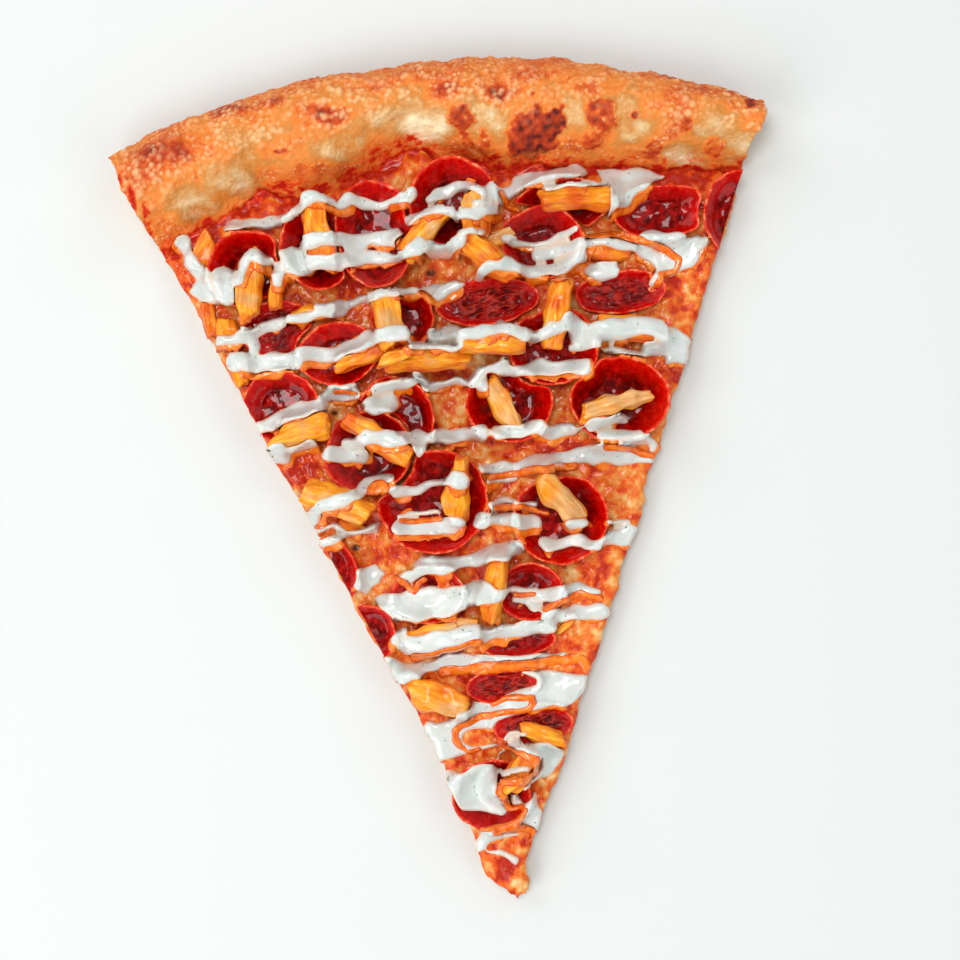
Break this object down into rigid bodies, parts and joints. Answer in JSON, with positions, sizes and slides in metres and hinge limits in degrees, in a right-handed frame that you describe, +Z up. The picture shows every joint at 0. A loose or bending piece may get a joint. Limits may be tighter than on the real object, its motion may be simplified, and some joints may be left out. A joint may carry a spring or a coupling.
{
  "type": "pizza slice",
  "caption": "Wedge of thin-crust pizza with a puffed rim, curled pepperoni cups, pineapple chunks and ribbons of white dressing and orange hot sauce; lies flat on its base.",
  "frame": {"origin": "middle of the slice's outline on the plane it lies on", "axes": "+Y along the slice's middle line from the tip to the crust, +Z up out of the toppings, +X to the right seen from above"},
  "size_m": [0.197, 0.2522, 0.0299],
  "materials": {
    "crust": "matt golden baked dough with browned blisters",
    "tomato_sauce": "moist cooked tomato",
    "cheese": "oily melted cheese stained orange",
    "pepperoni": "oily dark red cured sausage with a paler edge",
    "pineapple": "wet fibrous fruit",
    "dressing": "glossy white dressing with pepper flecks",
    "hot_sauce": "glossy orange sauce"
  },
  "bodies": {
    "root": {"crust": "crust", "tomato_sauce": "tomato_sauce", "cheese": "cheese", "pepperoni_01": "pepperoni", "pepperoni_02": "pepperoni", "pepperoni_03": "pepperoni", "pepperoni_04": "pepperoni", "pepperoni_05": "pepperoni", "pepperoni_06": "pepperoni", "pepperoni_07": "pepperoni", "pepperoni_08": "pepperoni", "pepperoni_09": "pepperoni", "pepperoni_10": "pepperoni", "pepperoni_11": "pepperoni", "pepperoni_12": "pepperoni", "pepperoni_13": "pepperoni", "pepperoni_14": "pepperoni", "pepperoni_15": "pepperoni", "pepperoni_16": "pepperoni", "pepperoni_17": "pepperoni", "pepperoni_18": "pepperoni", "pepperoni_19": "pepperoni", "pepperoni_20": "pepperoni", "pepperoni_21": "pepperoni", "pepperoni_22": "pepperoni", "pepperoni_23": "pepperoni", "pepperoni_24": "pepperoni", "pepperoni_25": "pepperoni", "pepperoni_26": "pepperoni", "pepperoni_27": "pepperoni", "pepperoni_28": "pepperoni", "pepperoni_29": "pepperoni", "pineapple_01": "pineapple", "pineapple_02": "pineapple", "pineapple_03": "pineapple", "pineapple_04": "pineapple", "pineapple_05": "pineapple", "pineapple_06": "pineapple", "pineapple_07": "pineapple", "pineapple_08": "pineapple", "pineapple_09": "pineapple", "pineapple_10": "pineapple", "pineapple_11": "pineapple", "pineapple_12": "pineapple", "pineapple_13": "pineapple", "pineapple_14": "pineapple", "pineapple_15": "pineapple", "pineapple_16": "pineapple", "pineapple_17": "pineapple", "pineapple_18": "pineapple", "pineapple_19": "pineapple", "pineapple_20": "pineapple", "pineapple_21": "pineapple", "pineapple_22": "pineapple", "pineapple_23": "pineapple", "pineapple_24": "pineapple", "pineapple_25": "pineapple", "pineapple_26": "pineapple", "pineapple_27": "pineapple", "pineapple_28": "pineapple"}
  },
  "joints": []
}
